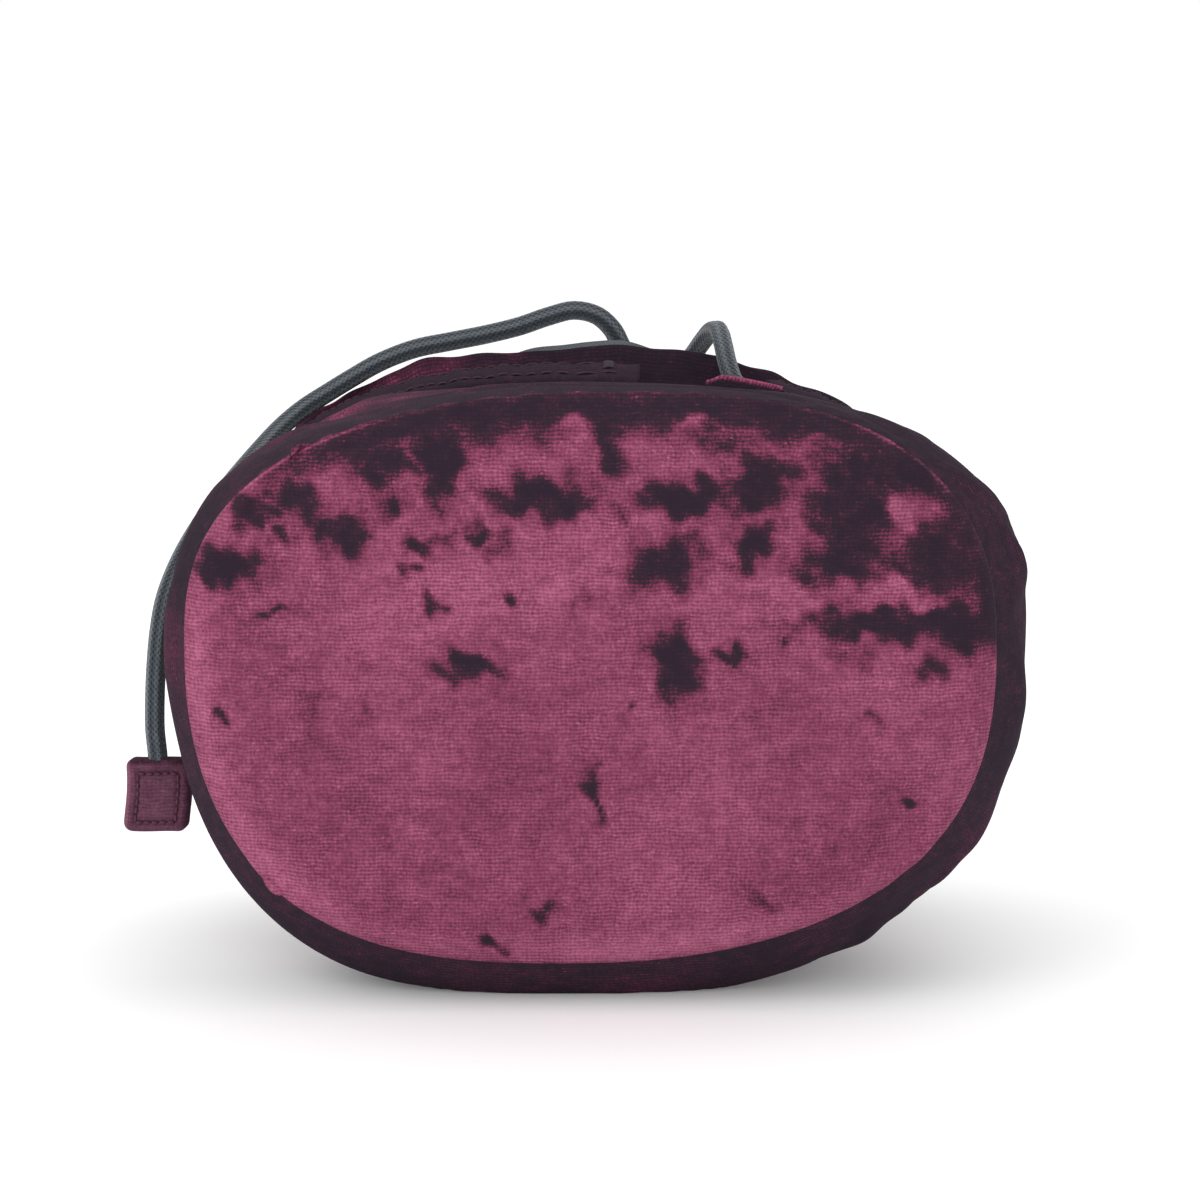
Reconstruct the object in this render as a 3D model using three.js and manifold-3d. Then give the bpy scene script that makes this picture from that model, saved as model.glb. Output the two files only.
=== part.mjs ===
// A drawstring pouch of crushed velvet, lying on its long side. Its oval, padded base faces -Y and
// its mouth faces +Y. A band round the neck carries the drawcord, whose free end comes out beside
// the top of the mouth, runs over the left shoulder and ends in a stitched velvet pull tab.
// Millimetres, +Z up, the floor at Z = 0, the origin below the middle of the pouch.

import * as THREE from 'three';
import { mergeVertices } from 'three/addons/utils/BufferGeometryUtils.js';
import Module from 'manifold-3d';

const wasm = await Module();
wasm.setup();

// ---- Driving dimensions ----

const clearance = 0.3; // between touching pieces

const baseHalfWidth = 81.7; // the base oval at its seam
const baseHalfHeight = 58.2;
const widestHeight = 7; // the oval is widest this far above its middle
const baseLean = 7; // the oval's top leans this far to the right, and its foot to the left
const ovalPower = 2.5; // 2 is an ellipse, more is squarer
const velvetThickness = 1.4; // with its nap
const liningThickness = 0.8;

const crownHeight = 4; // how far the padded base swells out of its seam
const crownEdge = 17; // width of the rounded edge round the flat middle of the base
const paddingThickness = 4;
const boardThickness = 1.5;

const pouchDepth = 100; // base seam to the middle of the mouth
const sideBulge = 6.6; // how far the wall swells past the base seam
const sagToRight = 1.9; // the swollen wall hangs this far to the right of the base
const topBulge = 1.2;
const waistEase = 5; // how far the wall still stands outside the neck, midway to it
const restDrop = 9; // the base seam's lowest point stands this high
const restFlattening = 2.5; // how much of the underside is pressed flat
const neckHalfWidth = 72; // the wall under the drawcord's band
const neckTop = 50; // heights are from the middle of the base
const neckUnder = -38;
const neckSag = 4; // the neck's front edge hangs this much lower
const mouthHalfWidth = 80;
const mouthTop = 61.5;
const mouthUnder = -46;
const mouthTilt = THREE.MathUtils.degToRad(18); // the mouth looks this far upward

const pleatCount = 12;
const pleatDepth = 1.2; // of the gathers at the mouth
const facetsPerPleat = 4;

const cordDiameter = 4.2;
const cordSides = 8;
const bandCloth = 0.9;
const bandLift = 1.9; // from the neck's outline to the band, clear of the gathers
const bandWidth = 13;
const bandPlace = 0.8; // share of the depth at which the band lies
const bandStart = THREE.MathUtils.degToRad(24); // right end, clockwise from the top
const bandEnd = THREE.MathUtils.degToRad(364.6); // left end
const bandSteps = 44;
const bandPathPoints = 36;
const fixedEndInset = 9; // the cord's sewn end lies this far inside the band's left end

const threadDiameter = 0.8;
const threadSides = 6;
const stitchInset = 1.5; // from the band's edge to its row of stitches
const stitchEnd = 0.01; // radians left free at each end of the row
const tackWidth = 1.2;
const tackCorner = 0.3;

const tabWidth = 13.5;
const tabHeight = 15.7;
const tabThickness = 7;
const tabCorner = 1.2;
const tabEdge = 1; // its rounded edge
const tabStitchInset = 2.3;
const tabStitchCorner = 0.6;
const cordInTab = 7; // how far the cord goes into the tab

const runSteps = 60;
const tailSteps = 14;
const pivotSides = 12;

// The cord's free run from the band to the shoulder, by hand, and its hanging tail.
const cordRun = [
  [31.9, 14.9, 119.6], [29.5, 15.7, 122], [28, 18.2, 126], [27.2, 21.8, 129.7],
  [26.4, 26.4, 132.4], [24.8, 31.4, 132], [22.8, 35.6, 129.2], [20.4, 38, 125.6],
  [17, 39, 122.4], [13, 38.4, 121], [9.4, 36.6, 122], [6.6, 34, 125],
  [4.6, 31.6, 129], [2.6, 29.8, 132.8], [-0.8, 28.8, 135.8], [-5.8, 28.4, 136.9],
  [-11.4, 28.2, 135.6], [-17.9, 28, 133.4], [-25.7, 28, 131.5], [-33.4, 28, 130],
  [-41.2, 28, 128.4], [-49, 28, 125.4], [-55.4, 28, 121.8], [-61, 27.4, 118.4],
  [-65.8, 25.6, 115.4], [-70.5, 21.4, 111.6], [-75.4, 13.4, 106.4], [-80.4, 3.6, 100.4],
  [-85.4, -5.6, 93.4], [-89.4, -12.6, 86],
];
const tailPivot = [-92, -17.6, 78.6];
const cordTail = [
  [-93.2, -18.9, 72], [-93.9, -19.4, 65], [-94.3, -19.6, 58], [-94.4, -19.7, 51],
];
const tabTop = [-93.9, -19.7, 44.8];

// ---- Sizes worked out from them ----

const facets = pleatCount * facetsPerPleat;
const baseMiddle = baseHalfHeight + restDrop; // height of the base's middle
const frontReach = clearance + velvetThickness + crownHeight;
const backReach = pouchDepth + (widestHeight - mouthUnder) * Math.tan(mouthTilt);
const seamY = (frontReach - backReach) / 2; // the base seam's place on Y
const wallInset = velvetThickness + clearance; // from the wall's outside to what lies in it
const bandThickness = cordDiameter + 2 * (clearance + bandCloth);
const bandCorner = bandThickness / 3;
const bandMiddle = pleatDepth * bandPlace ** 3 + bandLift + bandThickness / 2; // off the neck's outline
const neckShare = (bandWidth / 2 + 1) / pouchDepth; // the neck is straight this far each way
const neckRadius = neckHalfWidth + bandMiddle;

// The pouch's section at several shares of its depth: its middle across, its half-width, its top
// and lowest lines above the base's middle, and its lean.
const bulged = baseHalfWidth + sideBulge;
const pressed = -(baseMiddle + restFlattening);
const waistHalfWidth = (baseHalfWidth + neckHalfWidth) / 2 + waistEase;
const stationKeys = ['at', 'across', 'halfWidth', 'top', 'under', 'lean'];
const stations = [
  [0, -sagToRight, baseHalfWidth, baseHalfHeight, -baseHalfHeight, baseLean],
  [0.14, 0, bulged, baseHalfHeight + topBulge, pressed, baseLean],
  [0.36, 0, bulged - 1, baseHalfHeight + topBulge, pressed, baseLean / 2],
  [0.58, -sagToRight / 2, waistHalfWidth, neckTop + waistEase, pressed, 0],
  [bandPlace - neckShare, -sagToRight, neckHalfWidth, neckTop, neckUnder - neckSag, 0],
  [bandPlace + neckShare, -sagToRight, neckHalfWidth, neckTop, neckUnder, 0],
  [1, -sagToRight, mouthHalfWidth, mouthTop, mouthUnder, 0],
].map((values) => Object.fromEntries(stationKeys.map((key, i) => [key, values[i]])));

// ---- Shape helpers ----

// A smooth curve through the stations' values.
function outline(key, share) {
  const last = stations.length - 1;
  const i = Math.min(last - 1, stations.findLastIndex((station) => station.at <= share));
  const slope = (k) => {
    const [before, after] = [stations[Math.max(0, k - 1)], stations[Math.min(last, k + 1)]];
    return (after[key] - before[key]) / (after.at - before.at);
  };
  const [from, to] = [stations[i], stations[i + 1]];
  const span = to.at - from.at;
  const t = (share - from.at) / span;
  return (2 * t ** 3 - 3 * t ** 2 + 1) * from[key] + (t ** 3 - 2 * t ** 2 + t) * span * slope(i)
    + (3 * t ** 2 - 2 * t ** 3) * to[key] + (t ** 3 - t ** 2) * span * slope(i + 1);
}

// A point of an oval, the angle counted clockwise from its top: across and above its widest line.
function ovalPoint(angle, oval, inset) {
  const bend = (value) => Math.sign(value) * Math.abs(value) ** (2 / ovalPower);
  const [across, up] = [bend(Math.sin(angle)), bend(Math.cos(angle))];
  const height = up > 0 ? oval.above : oval.below;
  return [
    oval.across + across * (oval.halfWidth - inset) + oval.lean * up * Math.abs(up) ** 3,
    up * (height - inset),
  ];
}

// The tilted plane that the pouch's section lies in at a share of its depth.
function sectionPlane(share) {
  const tilt = mouthTilt * share ** 2;
  return {
    middle: new THREE.Vector3(0, seamY + share * pouchDepth, baseMiddle + widestHeight),
    up: new THREE.Vector3(0, -Math.sin(tilt), Math.cos(tilt)),
    out: new THREE.Vector3(0, Math.cos(tilt), Math.sin(tilt)),
    oval: {
      across: outline('across', share),
      halfWidth: outline('halfWidth', share),
      above: (outline('top', share) - widestHeight) / Math.cos(tilt),
      below: (widestHeight - outline('under', share)) / Math.cos(tilt),
      lean: outline('lean', share),
    },
  };
}

// One point of the pouch's section, moved inward by the inset and kept off the floor.
function sectionPoint(share, angle, inset, pleated = true) {
  const plane = sectionPlane(share);
  const pleat = pleated ? pleatDepth * share ** 3 * Math.sin(pleatCount * angle) : 0;
  const [x, up] = ovalPoint(angle, plane.oval, inset - pleat);
  const point = plane.middle.clone().addScaledVector(plane.up, up);
  return point.set(x, point.y, Math.max(point.z, inset));
}

const angles = Array.from({ length: facets }, (_, i) => (i / facets) * 2 * Math.PI);
const wallRing = (share, inset) => angles.map((angle) => sectionPoint(share, angle, inset));

// A ring of the base, at a depth behind (or, below 0, in front of) the base seam.
const baseRing = (inset, depth) => angles.map((angle) => {
  const [x, up] = ovalPoint(angle, sectionPlane(0).oval, inset);
  return new THREE.Vector3(x, seamY + depth, baseMiddle + widestHeight + up);
});

const signedVolume = (points, faces) => faces.reduce(
  (sum, [a, b, c]) => sum + points[a].dot(points[b].clone().cross(points[c])) / 6, 0);

// A closed body through rings of equal length: its ends are capped, or its last ring meets its first.
// From the turning ring on, the facets are split the other way, as the rings run back alongside.
function loft(rings, closedOnItself, turningRing = Infinity) {
  const points = rings.flat();
  const count = rings[0].length;
  const faces = [];
  const bands = closedOnItself ? rings.length : rings.length - 1;
  for (let r = 0; r < bands; r++) {
    const [low, high] = [r * count, ((r + 1) % rings.length) * count];
    for (let i = 0; i < count; i++) {
      const next = (i + 1) % count;
      const [a, b, c, d] = [low + i, low + next, high + next, high + i];
      if (r < turningRing) {
        faces.push([a, b, c], [a, c, d]);
      } else {
        faces.push([a, b, d], [b, c, d]);
      }
    }
  }
  if (!closedOnItself) {
    for (const [ring, start] of [[rings[0], 0], [rings.at(-1), (rings.length - 1) * count]]) {
      const middle = ring.reduce((sum, p) => sum.add(p), new THREE.Vector3()).divideScalar(count);
      points.push(middle);
      for (let i = 0; i < count; i++) {
        const edge = [start + i, start + ((i + 1) % count)];
        faces.push(start === 0 ? [edge[1], edge[0], points.length - 1] : [...edge, points.length - 1]);
      }
    }
  }
  if (signedVolume(points, faces) < 0) faces.forEach((face) => face.reverse());
  const geometry = new THREE.BufferGeometry().setFromPoints(points);
  geometry.setIndex(faces.flat());
  return geometry;
}

// A shell between the pouch's outline at one inset and the same outline further in.
function shell(shares, inset, thickness) {
  const outside = shares.map((share) => wallRing(share, inset));
  const inside = shares.toReversed().map((share) => wallRing(share, inset + thickness));
  return loft([...outside, ...inside], true, shares.length);
}

// A smooth path whose swept section keeps one side turned the same way.
class SteadyPath extends THREE.CatmullRomCurve3 {
  constructor(points, side) {
    super(points, false, 'centripetal');
    this.side = side;
  }

  computeFrenetFrames(steps) {
    const frames = { tangents: [], normals: [], binormals: [] };
    const side = this.side.clone();
    for (let i = 0; i <= steps; i++) {
      const tangent = this.getTangentAt(i / steps);
      side.addScaledVector(tangent, -side.dot(tangent)).normalize();
      frames.tangents.push(tangent);
      frames.normals.push(side.clone());
      frames.binormals.push(new THREE.Vector3().crossVectors(tangent, side));
    }
    return frames;
  }
}

const sweep = (shape, path, steps) => new THREE.ExtrudeGeometry(shape,
  { steps, bevelEnabled: false, extrudePath: path, curveSegments: 1 });

const roundSection = (diameter, sides) => new THREE.Shape(Array.from({ length: sides }, (_, i) => {
  const angle = ((i + 0.5) / sides) * 2 * Math.PI;
  return new THREE.Vector2(Math.cos(angle), Math.sin(angle)).multiplyScalar(diameter / 2);
}));

// A rectangle with cut corners, drawn onto a shape or a hole.
function softRectangle(target, width, height, corner) {
  const [w, h] = [width / 2, height / 2];
  target.moveTo(-w + corner, -h);
  target.lineTo(w - corner, -h);
  target.quadraticCurveTo(w, -h, w, -h + corner);
  target.lineTo(w, h - corner);
  target.quadraticCurveTo(w, h, w - corner, h);
  target.lineTo(-w + corner, h);
  target.quadraticCurveTo(-w, h, -w, h - corner);
  target.lineTo(-w, -h + corner);
  target.quadraticCurveTo(-w, -h, -w + corner, -h);
  return target;
}

const vectors = (points) => points.map((point) => new THREE.Vector3(...point));

const freeCord = (points, steps) => sweep(
  roundSection(cordDiameter, cordSides), new SteadyPath(points, new THREE.Vector3(0, 1, 0)), steps);

// ---- Joining and cutting ----

const weldDistance = 1e-4;

function toManifold(geometry) {
  const bare = geometry.clone();
  bare.deleteAttribute('normal');
  bare.deleteAttribute('uv');
  const merged = mergeVertices(bare, weldDistance);
  return new wasm.Manifold(new wasm.Mesh({
    numProp: 3,
    vertProperties: new Float32Array(merged.attributes.position.array),
    triVerts: new Uint32Array(merged.index.array),
  }));
}

function toGeometry(manifold) {
  const { vertProperties, triVerts } = manifold.getMesh();
  const geometry = new THREE.BufferGeometry();
  geometry.setAttribute('position', new THREE.BufferAttribute(new Float32Array(vertProperties), 3));
  geometry.setIndex(new THREE.BufferAttribute(new Uint32Array(triVerts), 1));
  return geometry;
}

// ---- The base ----

const crownShares = [0, 0.18, 0.42, 0.7, 1];
const crownAt = (share) => crownHeight * (1 - (1 - share) ** 2);

function basePanel() {
  const outside = crownShares.map((share) => baseRing(
    share * crownEdge, -clearance - velvetThickness - crownAt(share)));
  const inside = crownShares.map((share) => baseRing(
    velvetThickness + share * crownEdge, -clearance - crownAt(share)));
  const rim = baseRing(0, -clearance);
  return loft([...outside.toReversed(), rim, ...inside], false);
}

function basePadding() {
  const front = crownShares.map((share) => baseRing(wallInset + share * crownEdge, -crownAt(share)));
  return loft([...front.toReversed(), baseRing(wallInset, paddingThickness)], false);
}

function baseBoard() {
  const front = paddingThickness + clearance;
  return loft([baseRing(wallInset, front), baseRing(wallInset, front + boardThickness)], false);
}

const baseLiningDepth = paddingThickness + boardThickness + 2 * clearance;
const baseLiningShares = [baseLiningDepth, baseLiningDepth + liningThickness].map((d) => d / pouchDepth);

function baseLining() {
  return loft(baseLiningShares.map((share) => wallRing(share, wallInset)), false);
}

// ---- The wall ----

// The wall has a ring wherever a piece inside it starts or ends, so that their facets run alike.
const liningStart = baseLiningShares[1] + clearance / pouchDepth;
const wallShares = [0, 0.03, ...baseLiningShares, liningStart,
  0.1, 0.14, 0.25, 0.36, 0.47, 0.58, 0.65, bandPlace - neckShare, bandPlace, bandPlace + neckShare, 0.94, 1];

function wallLining() {
  return shell(wallShares.filter((share) => share >= liningStart), wallInset, liningThickness);
}

// ---- The drawcord's band ----

// A point of the band: round the neck, off the wall by so much, and so far towards the mouth.
function bandPoint(angle, offWall, towardsMouth) {
  const { out } = sectionPlane(bandPlace);
  const point = sectionPoint(bandPlace, angle, -offWall, false);
  return point.addScaledVector(out, towardsMouth);
}

function bandPath(from, to, offWall, towardsMouth) {
  const points = Array.from({ length: bandPathPoints + 1 }, (_, i) => bandPoint(
    THREE.MathUtils.lerp(from, to, i / bandPathPoints), offWall, towardsMouth));
  return new SteadyPath(points, sectionPlane(bandPlace).out);
}

function mouthCasing() {
  const shape = softRectangle(new THREE.Shape(), bandWidth, bandThickness, bandCorner);
  const channelWidth = bandWidth - 2 * bandCloth;
  const channelThickness = bandThickness - 2 * bandCloth;
  shape.holes.push(softRectangle(new THREE.Path(), channelWidth, channelThickness, channelThickness / 3));
  return sweep(shape, bandPath(bandStart, bandEnd, bandMiddle, 0), bandSteps);
}

function cordInBand() {
  const end = bandEnd - fixedEndInset / neckRadius;
  return sweep(roundSection(cordDiameter, cordSides), bandPath(bandStart, end, bandMiddle, 0), bandSteps);
}

// A row of stitches on the outside of the band, along one of its edges.
function bandStitches(side) {
  const offWall = bandMiddle + bandThickness / 2 + clearance + threadDiameter / 2;
  const along = side * (bandWidth / 2 - bandCorner - stitchInset);
  const path = bandPath(bandStart + stitchEnd, bandEnd - stitchEnd, offWall, along);
  return sweep(roundSection(threadDiameter, threadSides), path, bandSteps);
}

// A bar of stitches across the band that holds the cord's sewn end.
function endTack() {
  const length = bandWidth - 2 * (bandCorner + stitchInset + threadDiameter + clearance);
  const shape = softRectangle(new THREE.Shape(), tackWidth, length, tackCorner);
  const tack = new THREE.ExtrudeGeometry(shape, { depth: threadDiameter, bevelEnabled: false });
  const angle = bandEnd - fixedEndInset / 2 / neckRadius;
  const { out } = sectionPlane(bandPlace);
  const at = bandPoint(angle, bandMiddle + bandThickness / 2 + clearance, 0);
  const across = new THREE.Vector3(1, 0, 0);
  const turned = new THREE.Matrix4().makeBasis(across, out, across.clone().cross(out));
  return tack.applyMatrix4(turned.setPosition(at));
}

// ---- The free cord and its tab ----

function cordRunTube() {
  const exit = bandPoint(bandStart, bandMiddle, 0);
  const inside = bandPoint(bandStart + stitchEnd, bandMiddle, 0);
  const outward = exit.clone().sub(inside).setLength(2 * clearance);
  const pivot = new THREE.Vector3(...tailPivot);
  const last = new THREE.Vector3(...cordRun.at(-1));
  const stop = pivot.clone().add(last.sub(pivot).setLength(cordDiameter / 2 + clearance));
  return freeCord([exit.add(outward), ...vectors(cordRun), stop], runSteps);
}

// The tail's upper end is round, so that it can turn against the end of the run above it.
function cordTailTube() {
  const end = new THREE.Vector3(...tabTop);
  end.z -= cordInTab;
  const tube = freeCord([...vectors([tailPivot, ...cordTail, tabTop]), end], tailSteps);
  const ball = new THREE.SphereGeometry(cordDiameter / 2, pivotSides, cordSides);
  return toGeometry(toManifold(tube).add(toManifold(ball.translate(...tailPivot))));
}

function pullTab() {
  const shape = softRectangle(new THREE.Shape(), tabWidth, tabHeight, tabCorner);
  const depth = tabThickness - 2 * tabEdge;
  const block = new THREE.ExtrudeGeometry(shape, {
    depth,
    bevelThickness: tabEdge,
    bevelSize: tabEdge,
    bevelOffset: -tabEdge,
    bevelSegments: 2,
    curveSegments: 2,
  });
  block.translate(0, 0, -depth / 2).rotateX(Math.PI / 2);
  block.translate(tabTop[0], tabTop[1], tabTop[2] - tabHeight / 2);
  const pocketRadius = cordDiameter / 2 + clearance;
  const pocketDepth = cordInTab + clearance;
  const pocket = new THREE.CylinderGeometry(pocketRadius, pocketRadius, 2 * pocketDepth, pivotSides);
  pocket.rotateX(Math.PI / 2).translate(...tabTop);
  return toGeometry(toManifold(block).subtract(toManifold(pocket)));
}

function tabStitches() {
  const side = [tabWidth - 2 * tabStitchInset, tabHeight - 2 * tabStitchInset];
  const hole = side.map((length) => length - 2 * threadDiameter);
  const shape = softRectangle(new THREE.Shape(), ...side, tabStitchCorner);
  shape.holes.push(softRectangle(new THREE.Path(), ...hole, tabStitchCorner / 2));
  const loop = new THREE.ExtrudeGeometry(shape, { depth: threadDiameter / 2, bevelEnabled: false });
  loop.rotateX(Math.PI / 2);
  return loop.translate(
    tabTop[0], tabTop[1] - tabThickness / 2 - clearance, tabTop[2] - tabHeight / 2);
}

// ---- Assembly ----

const velvet = { color: 0x8a4a62, roughness: 0.85, metalness: 0 };
const darkVelvet = { color: 0x3c333d, roughness: 0.9, metalness: 0 };
const liningCloth = { color: 0x4a4d52, roughness: 0.8, metalness: 0 };
const cordBraid = { color: 0x4f555b, roughness: 0.75, metalness: 0 };
const thread = { color: 0x2e1c28, roughness: 0.7, metalness: 0 };
const foam = { color: 0xd8d4cc, roughness: 0.95, metalness: 0 };
const card = { color: 0x8f8271, roughness: 0.9, metalness: 0 };

const group = new THREE.Group();
group.name = 'drawstring_pouch';

function place(name, geometry, look) {
  const mesh = new THREE.Mesh(geometry, new THREE.MeshStandardMaterial(look));
  mesh.name = name;
  group.add(mesh);
}

place('base_panel', basePanel(), velvet);
place('base_padding', basePadding(), foam);
place('base_board', baseBoard(), card);
place('base_lining', baseLining(), liningCloth);
place('wall_panel', shell(wallShares, 0, velvetThickness), darkVelvet);
place('wall_lining', wallLining(), liningCloth);
place('mouth_casing', mouthCasing(), darkVelvet);
place('casing_stitching_front', bandStitches(-1), thread);
place('casing_stitching_rear', bandStitches(1), thread);
place('cord_end_tack', endTack(), thread);
place('drawcord_in_casing', cordInBand(), cordBraid);
place('drawcord_run', cordRunTube(), cordBraid);
place('drawcord_tail', cordTailTube(), cordBraid);
place('pull_tab', pullTab(), darkVelvet);
place('pull_tab_stitching', tabStitches(), thread);

export default group;
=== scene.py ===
import math

import bpy
import numpy as np
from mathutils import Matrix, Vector


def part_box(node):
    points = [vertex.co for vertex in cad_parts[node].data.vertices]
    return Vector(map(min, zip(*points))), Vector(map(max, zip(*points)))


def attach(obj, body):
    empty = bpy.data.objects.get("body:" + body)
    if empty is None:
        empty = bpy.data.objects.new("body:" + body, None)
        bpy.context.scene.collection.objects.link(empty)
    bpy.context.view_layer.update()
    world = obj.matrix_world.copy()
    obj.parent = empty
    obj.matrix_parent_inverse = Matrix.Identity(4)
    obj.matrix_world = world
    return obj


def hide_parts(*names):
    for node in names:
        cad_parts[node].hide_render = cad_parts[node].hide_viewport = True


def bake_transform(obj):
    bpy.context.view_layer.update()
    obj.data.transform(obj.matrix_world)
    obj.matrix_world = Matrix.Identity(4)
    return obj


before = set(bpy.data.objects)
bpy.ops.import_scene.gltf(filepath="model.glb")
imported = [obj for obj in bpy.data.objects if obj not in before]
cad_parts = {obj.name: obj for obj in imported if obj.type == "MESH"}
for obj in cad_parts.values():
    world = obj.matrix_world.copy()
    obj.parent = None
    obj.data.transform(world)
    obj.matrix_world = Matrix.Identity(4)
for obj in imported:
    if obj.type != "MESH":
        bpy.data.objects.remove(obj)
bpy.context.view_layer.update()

# A drawstring pouch of crushed velvet on its side: oval padded base towards -Y, mouth towards +Y.
# Sizes in the shape functions are millimetres in the row's frame. Meshes are made in metres.

MM = 0.001

# ---- The pouch's own sizes ----

CLEARANCE = 0.3
SAG = 1.9  # the base and the mouth stand this far left of the swollen wall
BASE_HALF_WIDTH = 81.7
BASE_HALF_HEIGHT = 58.2
WIDEST_HEIGHT = 7.0
REST_DROP = 9.0
BASE_LEAN = 7.0
OVAL_POWER = 2.5
VELVET = 1.4
LINING = 0.8
CROWN = 4.0
CROWN_EDGE = 17.0
PADDING = 4.0
BOARD = 1.5
DEPTH = 100.0
PLEATS = 12
PLEAT_DEPTH = 1.2
MOUTH_TILT = math.radians(18)
MOUTH_UNDER = -46.0
NECK_HALF_WIDTH = 72.0
BAND_PLACE = 0.8
BAND_WIDTH = 13.0
BAND_CLOTH = 0.9
BAND_LIFT = 1.9
FIXED_END_INSET = 9.0
BAND_START = math.radians(24)
BAND_END = math.radians(364.6)
CORD = 4.2
TAB = (13.5, 7.0, 15.7)

BASE_MIDDLE = BASE_HALF_HEIGHT + REST_DROP
WALL_INSET = VELVET + CLEARANCE
# Mean radii that turn an angle round the pouch into a length of cloth.
CREASE_RADIUS = 74.0
WALL_RADIUS = 78.0
BAND_RADIUS = 76.0
LIP_START = math.radians(13.6)
SEAM_Y = (CLEARANCE + VELVET + CROWN - DEPTH - (WIDEST_HEIGHT - MOUTH_UNDER) * math.tan(MOUTH_TILT)) / 2
BAND_THICKNESS = CORD + 2 * (CLEARANCE + BAND_CLOTH)
BAND_MIDDLE = PLEAT_DEPTH * BAND_PLACE ** 3 + BAND_LIFT + BAND_THICKNESS / 2
NECK = (BAND_WIDTH / 2 + 1) / DEPTH
PRESSED = -(BASE_MIDDLE + 2.5)

# Share of the depth: middle across, half-width, top, underside, lean.
STATIONS = np.array([
    (0, -SAG, BASE_HALF_WIDTH, BASE_HALF_HEIGHT, -BASE_HALF_HEIGHT, BASE_LEAN),
    (0.14, 0, 88.3, 59.4, PRESSED, BASE_LEAN),
    (0.36, 0, 87.3, 59.4, PRESSED, BASE_LEAN / 2),
    (0.58, -SAG / 2, 81.85, 55, PRESSED, 0),
    (BAND_PLACE - NECK, -SAG, NECK_HALF_WIDTH, 50, -42, 0),
    (BAND_PLACE + NECK, -SAG, NECK_HALF_WIDTH, 50, -38, 0),
    (1, -SAG, 80, 61.5, MOUTH_UNDER, 0),
])

# ---- Camera, at the distance and height of someone looking down a little at the base ----

camera = bpy.data.objects.new("camera", bpy.data.cameras.new("camera"))
bpy.context.scene.collection.objects.link(camera)
bpy.context.scene.camera = camera
camera.data.lens = 105
camera.data.sensor_width = 36
aim = Vector((0, -0.058, 0.084))
lift = math.radians(8)
camera.location = aim + 0.7 * Vector((0, -math.cos(lift), math.sin(lift)))
camera.rotation_euler = (aim - camera.location).to_track_quat("-Z", "Y").to_euler()

# ---- The pouch's outline ----


def smooth(low, high, value):
    t = np.clip((np.asarray(value, float) - low) / (high - low), 0, 1)
    return t * t * (3 - 2 * t)


def outline(column, share):
    """A smooth curve through one column of the stations."""
    at, values = STATIONS[:, 0], STATIONS[:, column]
    last = len(at) - 1
    i = np.clip(np.searchsorted(at, share, side="right") - 1, 0, last - 1)
    before, after = np.maximum(np.arange(last + 1) - 1, 0), np.minimum(np.arange(last + 1) + 1, last)
    slope = (values[after] - values[before]) / (at[after] - at[before])
    span = at[i + 1] - at[i]
    t = (share - at[i]) / span
    return ((2 * t**3 - 3 * t**2 + 1) * values[i] + (t**3 - 2 * t**2 + t) * span * slope[i]
            + (3 * t**2 - 2 * t**3) * values[i + 1] + (t**3 - t**2) * span * slope[i + 1])


def section(share, angle, inset=0.0):
    """Points of the pouch's section. The angle runs clockwise from the top, seen from the base."""
    share, angle, inset = np.broadcast_arrays(*(np.asarray(v, float) for v in (share, angle, inset)))
    tilt = MOUTH_TILT * share**2
    side = np.sign(np.sin(angle)) * np.abs(np.sin(angle)) ** (2 / OVAL_POWER)
    rise = np.sign(np.cos(angle)) * np.abs(np.cos(angle)) ** (2 / OVAL_POWER)
    above = (outline(3, share) - WIDEST_HEIGHT) / np.cos(tilt)
    below = (WIDEST_HEIGHT - outline(4, share)) / np.cos(tilt)
    x = (outline(1, share) + side * (outline(2, share) - inset)
         + outline(5, share) * rise * np.abs(rise) ** 3)
    up = rise * (np.where(rise > 0, above, below) - inset)
    y = SEAM_Y + share * DEPTH - np.sin(tilt) * up
    z = BASE_MIDDLE + WIDEST_HEIGHT + np.cos(tilt) * up
    return np.stack([x, y, np.maximum(z, inset)], -1)


rng = np.random.default_rng(11)
CREASES = [
    (rng.uniform(0, 2 * math.pi), rng.uniform(0.08, 0.66), rng.uniform(-1.2, 1.2),
     rng.uniform(9, 26), rng.uniform(2.2, 5), rng.uniform(0.4, 1.0) * rng.choice((-1, 1)))
    for _ in range(64)
]
# Folds at the sides and the top, and places where the wall is drawn in: degrees, share, height, width.
FOLDS = [(86, 0.16, -1.9, 44), (62, 0.15, 0.7, 8), (78, 0.16, 0.5, 6), (103, 0.16, 0.3, 6),
         (268, 0.13, 0.9, 7), (300, 0.2, 0.7, 8), (330, 0.45, 1.3, 7),
         (20, 0.4, 1.1, 9)]
PULLED_IN = [(38, 0.97, -2.6, 15), (300, 0.95, -0.8, 20), (8, 0.3, -2.4, 34), (12, 0.5, -2.0, 30)]


def apart(angle, middle):
    return (angle - middle + math.pi) % (2 * math.pi) - math.pi


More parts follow.
